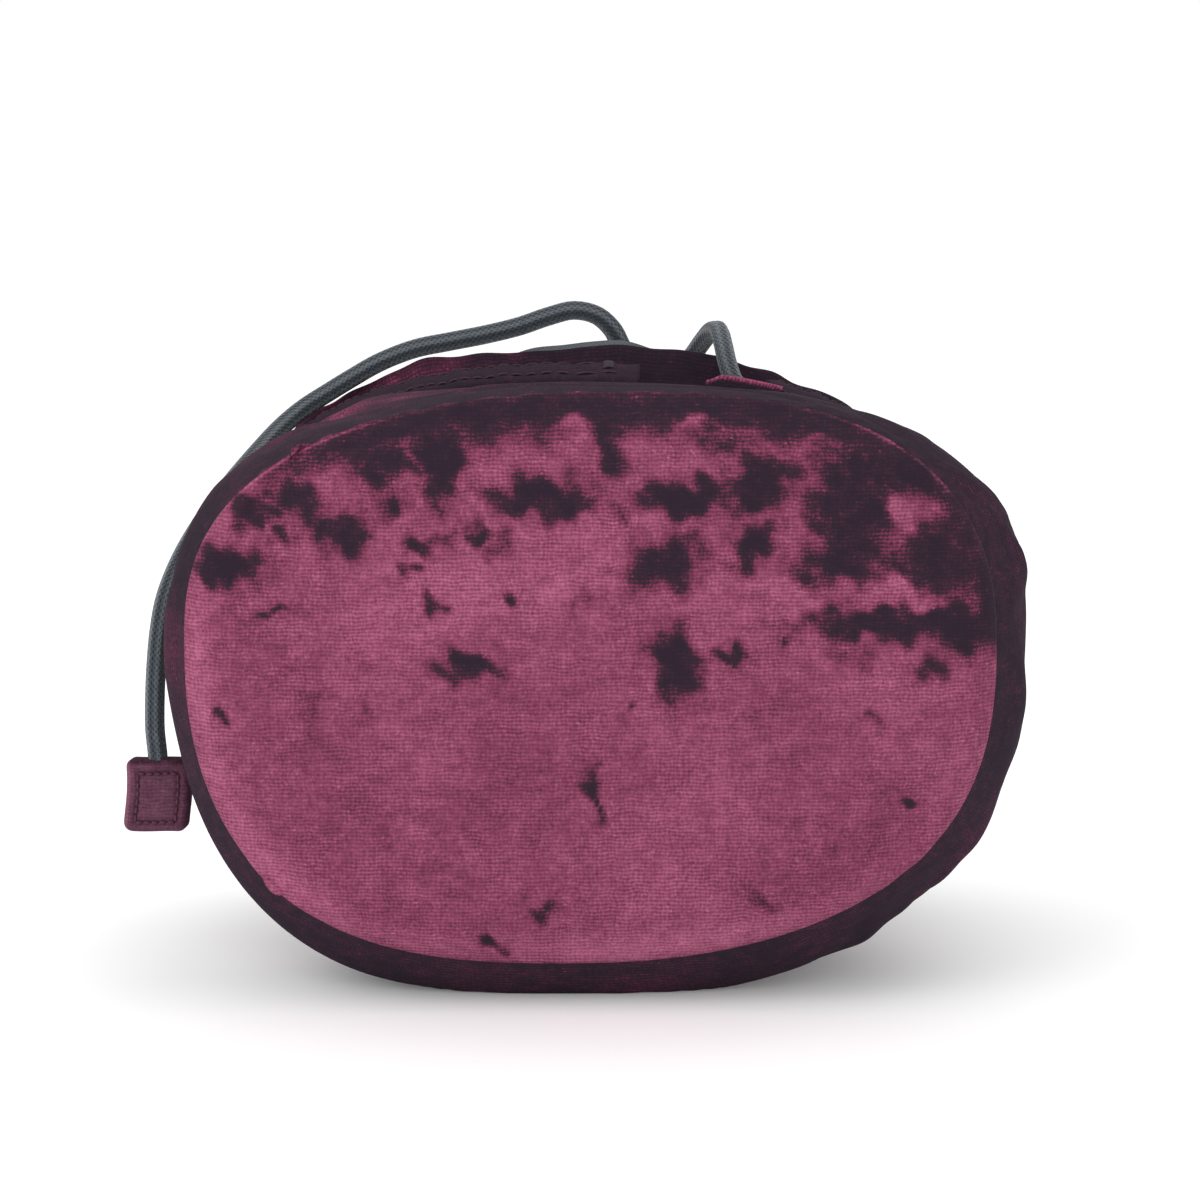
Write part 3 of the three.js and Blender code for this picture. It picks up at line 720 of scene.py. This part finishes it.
crown = [0, 0.1, 0.22, 0.4, 0.65, 1]
lens = [-(CROWN - 0.2) * (1 - (1 - s) ** 2) for s in crown]
oval_block("base_wadding", [lens[-1], *lens[::-1], 0.6, PADDING, PADDING],
           [CROWN_EDGE + WALL_INSET, *[WALL_INSET + 1.5 + s * CROWN_EDGE for s in crown[::-1]],
            WALL_INSET + 0.1, WALL_INSET + 0.1, WALL_INSET],
           "base_padding", "padding", wadding, ease=[0, *[1] * (len(crown) + 2), 0])
front = PADDING + CLEARANCE
oval_block("base_stiffener", [front, front, front + 0.2, front + BOARD - 0.2, front + BOARD, front + BOARD],
           [2, WALL_INSET + 0.2, WALL_INSET, WALL_INSET, WALL_INSET + 0.2, 2],
           "base_board", "board", pressed_board, ease=[0, 1, 1, 1, 1, 0])

# ---- The wall and its lining ----

angles = np.arange(560) / 560 * 2 * math.pi
shares = np.concatenate([np.linspace(0, 0.05, 12, endpoint=False), np.linspace(0.05, 0.7, 66, endpoint=False),
                         np.linspace(0.7, 0.9, 22, endpoint=False), np.linspace(0.9, 1, 18)])


def wall_tone(points):
    """How bright the wall looks: its top darkened as painted shade and streaked lighter at the upper left,
    with a painted highlight along the seam at the top left.
    """
    x, y, z = (points[..., k] for k in range(3))
    depth = (y - SEAM_Y) / DEPTH
    flow = np.sin(x / 9 + 2 * np.sin(z / 13)) * np.sin(y / 8 + x / 17) + 0.6 * np.sin(z / 6 + y / 11)
    tone = 0.44 + 0.08 * flow + 0.14 * smooth(0.25, 0.6, depth)
    # Painted shade: the top of the wall is painted dark, streaked lighter towards the left away from the
    # seam.
    top = smooth(98, 118, z)
    left = smooth(-4, -34, x)
    streak = 0.12 * np.sin(x / 3.1 + y / 7) * np.sin(x / 7.3 - y / 5 + 1)
    tone = tone * (1 - top) + top * (0.34 + (0.26 + streak) * left * smooth(0.05, 0.3, depth))
    # Painted highlight: a thin lighter line along the seam at the top left.
    rim = np.exp(-((depth * DEPTH - 0.2) / 0.7) ** 2) * smooth(95, 112, z) * smooth(45, 10, x)
    return tone + 0.35 * rim


pouch_wall = shell("shaded_wall_velvet", shares, angles, 0.0, VELVET, wall, wall_tone, node=("wall_panel",),
                   slot="velvet_wall", look=shaded_wall_velvet)
liner_shares = np.concatenate([np.linspace(0.072, 0.7, 40, endpoint=False), np.linspace(0.7, 1, 30)])


def lining_shape(share, angle, inset):
    """The lining follows the wall, and rolls a little over the hem at the top."""
    share, angle = np.broadcast_arrays(np.asarray(share, float), np.asarray(angle, float))
    over = np.exp(-(np.degrees(apart(angle, math.radians(-1))) / 8.5) ** 4) * smooth(0.97, 1.0, share)
    points = wall(share, angle, inset)
    points[..., 1] += 0.6 * over
    points[..., 2] += 2.6 * over
    return points



def flat_tone(points):
    return np.full(points.shape[:2], 0.5)


lining_wall = shell("wall_lining_cloth", liner_shares, angles, WALL_INSET, LINING, lining_shape, flat_tone,
      node=("wall_lining",), slot="lining", look=lining_cloth)

lining_depth = PADDING + BOARD + 2 * CLEARANCE
LINING_EDGE = 0.6  # how far inside the wall's inner face the base's lining ends


def flat_lining(name):
    """The base's lining: a flat cloth whose edge follows the wall's own section at its depth."""
    turns = np.arange(240) / 240 * 2 * math.pi
    rings = []
    spreads = (0, 0.3, 0.6, 0.85, 1)
    for depth, spread in [(0, s) for s in spreads] + [(LINING, s) for s in spreads[::-1]]:
        rim = section((lining_depth + depth) / DEPTH, turns, WALL_INSET + LINING_EDGE)
        rim[:, 1] = SEAM_Y + lining_depth + depth
        middle = np.array([CENTRE[0], rim[0, 1], CENTRE[1]])
        rings.append(middle + spread * (rim - middle))
    return oval_body(name, rings, "base_lining", "lining", lining_cloth)


flat_lining("base_lining_cloth")



# ---- The drawcord's band, its lip in front of the cord, its stitches and the tack ----


def band_section(count):
    """Places round the band's section: towards the mouth, and off its middle."""
    turn = np.arange(count) / count * 2 * math.pi
    power = 2 / 3.2
    return (np.sign(np.cos(turn)) * np.abs(np.cos(turn)) ** power,
            np.sign(np.sin(turn)) * np.abs(np.sin(turn)) ** power)


def band_puff(angle, along, rise):
    """How far the gathered band's outside stands off its plain section, in millimetres."""
    ripple = 0.5 + 0.5 * np.sin(58 * angle + 1.4 * np.sin(7 * angle) + 0.5 * along)
    fine = 0.5 + 0.5 * np.sin(97 * angle + 2 * np.sin(4 * angle))
    groove = np.exp(-((np.abs(along) - 0.58) / 0.13) ** 2)
    outside = smooth(-0.1, 0.5, rise)
    return outside * (0.4 * ripple + 0.16 * fine + 0.25 * (1 - along**2) - 0.3 * groove)


def band_surface(angle, along, rise, inset):
    half_width, half_high = BAND_WIDTH / 2 - inset, BAND_THICKNESS / 2 - inset
    lifted = band_puff(angle, along, rise) if inset == 0 else 0.0
    return band_point(angle, BAND_MIDDLE + rise * half_high + lifted, along * half_width)


round_along, round_rise = band_section(40)
band_angles = np.linspace(BAND_START, BAND_END, 460)
outer = band_surface(band_angles[:, None], round_along[None, :], round_rise[None, :], 0)
inner = band_surface(band_angles[::-1, None], round_along[None, :], round_rise[None, :], BAND_CLOTH)
band_points = np.concatenate([outer, inner])
length_along = (np.append(band_angles, band_angles[::-1]) * BAND_RADIUS) * MM
verts, faces, uvs = grid(band_points, np.arange(41) / 40 * 0.036, np.append(length_along, length_along[0]),
                         close=True)
uvs = uvs[:, ::-1]
if not outward(verts, faces):
    faces, uvs = faces[:, ::-1], uvs.reshape(-1, 4, 2)[:, ::-1].reshape(-1, 2)
# Painted light and shade: the band's colour is lighter where its gathers stand out and darker in the stitched
# grooves near its edges.
band_puff_shading = 0.3 + 0.1 * band_puff(np.append(band_angles, band_angles[::-1])[:, None], round_along[None, :],
                                     round_rise[None, :])

# The lip runs on from the band's front edge, to the left of where the cord comes out.
lip_angles = np.linspace(LIP_START, BAND_START + 0.03, 48)
lip_places = np.linspace(0, 1, 14)
lip_grow = smooth(LIP_START, math.radians(16), lip_angles)[:, None]
lip_off = 2.6 + lip_places[None, :] * (BAND_MIDDLE + BAND_THICKNESS / 2 - 1.0) * (0.8 + 0.2 * lip_grow)
lip_along = -BAND_WIDTH / 2 - 0.5 + 1.9 * lip_places[None, :] ** 2 + 0 * lip_off
lip_out = band_point(lip_angles[:, None], lip_off, lip_along)
lip_in = band_point(lip_angles[:, None], lip_off - 0.2, lip_along + 0.9)
lip_points = np.concatenate([lip_out, lip_in[:, ::-1]], axis=1)
lip_verts, lip_faces, lip_uvs = grid(lip_points, np.arange(29) * 0.0006,
                                     np.append(lip_angles, 0.43) * BAND_RADIUS * MM)
# Painted highlight: the lip's rolled outer edge is painted lighter.
lip_lit_edge = np.concatenate([0.36 + 0.6 * smooth(0.84, 0.97, lip_places[None, :]) + 0 * lip_off,
                           0.36 + 0.6 * smooth(0.84, 0.97, lip_places[None, ::-1]) + 0 * lip_off], axis=1)
count = len(verts)
verts = np.vstack([verts, lip_verts])
faces = np.vstack([faces, lip_faces + count])
uvs = np.vstack([uvs, lip_uvs])
band = mesh_object("mouth_casing_velvet", verts, faces, uvs=uvs, node=("mouth_casing",), slot="velvet_wall",
                   look=shaded_wall_velvet, values={"tone": np.append(band_puff_shading.reshape(-1), lip_lit_edge.reshape(-1))})


def stitches(name, starts, ends, lifts, radius, **rest):
    """A row of separate stitches, each a short thread that dips into the cloth at both ends."""
    points, faces = [], []
    for start, end, lift in zip(starts, ends, lifts):
        steps = np.linspace(0, 1, 7)[:, None]
        path = start + steps * (end - start) + lift * (np.sin(steps * math.pi) ** 0.6 - 0.45) * radius * 1.3
        verts, quads, _ = tube(path, lambda turn, row: radius * (1 + 0.1 * np.cos(3 * turn + row)),
                               lift + (0.01, 0.02, 0.03), 7)
        faces.append(quads + sum(len(p) for p in points))
        points.append(verts)
    return mesh_object(name, np.vstack(points), np.vstack(faces), **rest)


def band_row(name, side, node):
    """A row of stitches along one edge of the band, in its groove."""
    place = side * 0.58
    rise = (1 - abs(place) ** 3.2) ** (1 / 3.2)
    marks = np.arange(BAND_START + 0.03, BAND_END - 0.04, 2.5 / (NECK_HALF_WIDTH + BAND_MIDDLE))
    ends = marks + 1.75 / (NECK_HALF_WIDTH + BAND_MIDDLE)
    first = band_surface(marks, place, rise, 0)
    last = band_surface(ends, place, rise, 0)
    above = band_point(marks, BAND_MIDDLE + 9, 0.0) - band_point(marks, BAND_MIDDLE + 8, 0.0)
    above /= np.linalg.norm(above, axis=1)[:, None]
    stitches(name, first + above * 0.08, last + above * 0.08, above, 0.26, node=(node,), slot="thread",
             look=thread_look)


band_row("casing_stitches_front", -1, "casing_stitching_front")
band_row("casing_stitches_rear", 1, "casing_stitching_rear")

tack_angle = BAND_END - 4.5 / (NECK_HALF_WIDTH + BAND_MIDDLE)
tack_at = np.linspace(-0.34, 0.34, 9)
tack_rise = (1 - np.abs(tack_at) ** 3.2) ** (1 / 3.2)
tack_up = np.array([0.0, -0.2, 1.0])
tack_up /= np.linalg.norm(tack_up)
left_ends = band_surface(np.full(9, tack_angle - 0.008), tack_at, tack_rise, 0) + tack_up * 0.12
right_ends = band_surface(np.full(9, tack_angle + 0.008), tack_at + 0.05, tack_rise, 0) + tack_up * 0.12
stitches("cord_tack_stitches", left_ends, right_ends, np.repeat(tack_up[None], 9, 0), 0.27,
         node=("cord_end_tack",), slot="thread", look=thread_look)

# ---- The pull tab ----

tab_low, tab_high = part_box("pull_tab")
TAB_MIDDLE = (np.array(tab_low) + np.array(tab_high)) / 2 / MM
STITCH_BOX = np.array([TAB[0] / 2 - 2.5, TAB[2] / 2 - 2.6])


def tab_shape(points):
    """A folded, stuffed square of velvet: soft corners, a rolled top and a sewn-down box."""
    half = np.array(TAB) / 2
    radius = 2.0
    core = np.clip(points * half, -(half - radius), half - radius)
    shell_way = points * half - core
    length = np.linalg.norm(shell_way, axis=1)[:, None]
    shaped = core + shell_way / np.maximum(length, 1e-6) * np.minimum(length, radius)
    x, y, z = shaped.T
    edge = np.maximum(np.abs(x) / half[0], np.abs(z) / half[2])
    shaped[:, 1] *= 0.72 + 0.2 * np.sqrt(np.clip(1 - edge**3, 0, 1)) + 0.08 * smooth(0.55, 1, z / half[2])
    off = np.maximum(np.abs(x) - STITCH_BOX[0], np.abs(z + 0.3) - STITCH_BOX[1])
    shaped[:, 1] -= np.sign(y) * 0.45 * np.exp(-(off / 0.55) ** 2) * smooth(0.3, 0.7, np.abs(points[:, 1]))
    shaped[:, 0] += 0.25 * np.sin(z / 3.1 + 1) + 0.12 * np.sin(y)
    shaped[:, 2] += 0.2 * np.sin(x / 2.7)
    turn = math.radians(-2.5)
    x, z = shaped[:, 0].copy(), shaped[:, 2].copy()
    shaped[:, 0] = x * math.cos(turn) - z * math.sin(turn)
    shaped[:, 2] = x * math.sin(turn) + z * math.cos(turn)
    return shaped + TAB_MIDDLE


def cube_sphere(cells):
    """Vertices and quads of a cube from -1 to 1 with this many cells along an edge."""
    line = np.linspace(-1, 1, cells + 1)
    points, faces = [], []
    for axis in range(3):
        for sign in (-1, 1):
            a, b = np.meshgrid(line, line, indexing="ij")
            side = np.empty((cells + 1, cells + 1, 3))
            side[..., axis] = sign
            side[..., (axis + 1) % 3] = a
            side[..., (axis + 2) % 3] = b
            verts, quads, _ = grid(side, wrap=False)
            faces.append((quads if sign > 0 else quads[:, ::-1]) + sum(len(p) for p in points))
            points.append(verts)
    points, faces = np.vstack(points), np.vstack(faces)
    kept, index = np.unique(np.round(points, 6), axis=0, return_inverse=True)
    return kept, index.reshape(-1)[faces]


cube, quads = cube_sphere(36)
tab_points = tab_shape(cube)
# Painted light and shade: the tab's left side is painted lighter, and its rolled top and the sunken line
# round the stitched box darker.
tone = (0.5 + 0.25 * (cube[:, 0] < -0.93) - 0.3 * smooth(0.84, 0.97, cube[:, 2])
        - 0.16 * np.exp(-((np.maximum(np.abs(cube[:, 0]) - 0.66, np.abs(cube[:, 2]) - 0.69)) / 0.07) ** 2))
corners = cube[quads.reshape(-1)]
tab = mesh_object("pull_tab_velvet", tab_points, quads, body="tail", node=("pull_tab",), slot="velvet_tab",
                  look=tab_velvet, uvs=corners[:, [0, 2]] * np.array([TAB[0], TAB[2]]) / 2 * MM,
                  values={"tone": tone})


def tab_row():
    """The box of stitches sewn round the tab's front."""
    starts, ends = [], []
    box = [(-1, 1), (1, 1), (1, -1), (-1, -1)]
    for (x0, z0), (x1, z1) in zip(box, box[1:] + box[:1]):
        a = np.array([x0 * STITCH_BOX[0], z0 * STITCH_BOX[1] - 0.3])
        b = np.array([x1 * STITCH_BOX[0], z1 * STITCH_BOX[1] - 0.3])
        count = int(round(np.linalg.norm(b - a) / 1.8))
        for k in range(count):
            low, high = (k + 0.16) / count, (k + 0.84) / count
            starts.append(a + (b - a) * low)
            ends.append(a + (b - a) * high)
    flat = np.array(starts + ends)
    unit = np.stack([flat[:, 0] / (TAB[0] / 2), -np.ones(len(flat)), flat[:, 1] / (TAB[2] / 2)], -1)
    on = tab_shape(unit)
    on[:, 1] -= 0.1
    half = len(starts)
    up = np.repeat(np.array([[0.0, -1.0, 0.0]]), half, 0)
    return stitches("tab_stitches", on[:half], on[half:], up, 0.3, body="tail", node=("pull_tab_stitching",),
                    slot="thread", look=tab_thread_look)


tab_thread = tab_row()

# ---- Floor and light ----

floor_mesh = bpy.data.meshes.new("floor")
floor_mesh.from_pydata([(-9, -9, 0), (9, -9, 0), (9, 9, 0), (-9, 9, 0)], [], [(0, 1, 2, 3)])
floor = bpy.data.objects.new("floor", floor_mesh)
bpy.context.scene.collection.objects.link(floor)
floor_look = Look("floor", 0.9)
floor_look.shader.inputs["Base Color"].default_value = (0.95, 0.95, 0.95, 1)
floor_look.shader.inputs["Emission Color"].default_value = (1, 1, 1, 1)
floor_look.shader.inputs["Emission Strength"].default_value = 0.1
floor_mesh.materials.append(floor_look.material)


def area_light(name, place, target, size, watts):
    light = bpy.data.lights.new(name, "AREA")
    light.shape = "RECTANGLE"
    light.size, light.size_y = size
    light.energy = watts
    made = bpy.data.objects.new(name, light)
    bpy.context.scene.collection.objects.link(made)
    made.location = place
    made.rotation_euler = (Vector(target) - Vector(place)).to_track_quat("-Z", "Y").to_euler()


area_light("key", (-0.8, -0.9, 1.0), (0, 0, 0.06), (0.9, 0.9), 5)
area_light("over", (0.2, 0.4, 1.3), (0, 0, 0.06), (1.4, 1.0), 3)
world = bpy.data.worlds.new("world")
world.use_nodes = True
world.node_tree.nodes["Background"].inputs["Color"].default_value = (1, 1, 1, 1)
world.node_tree.nodes["Background"].inputs["Strength"].default_value = 1.0
bpy.context.scene.world = world
bpy.context.scene.view_settings.view_transform = "Standard"
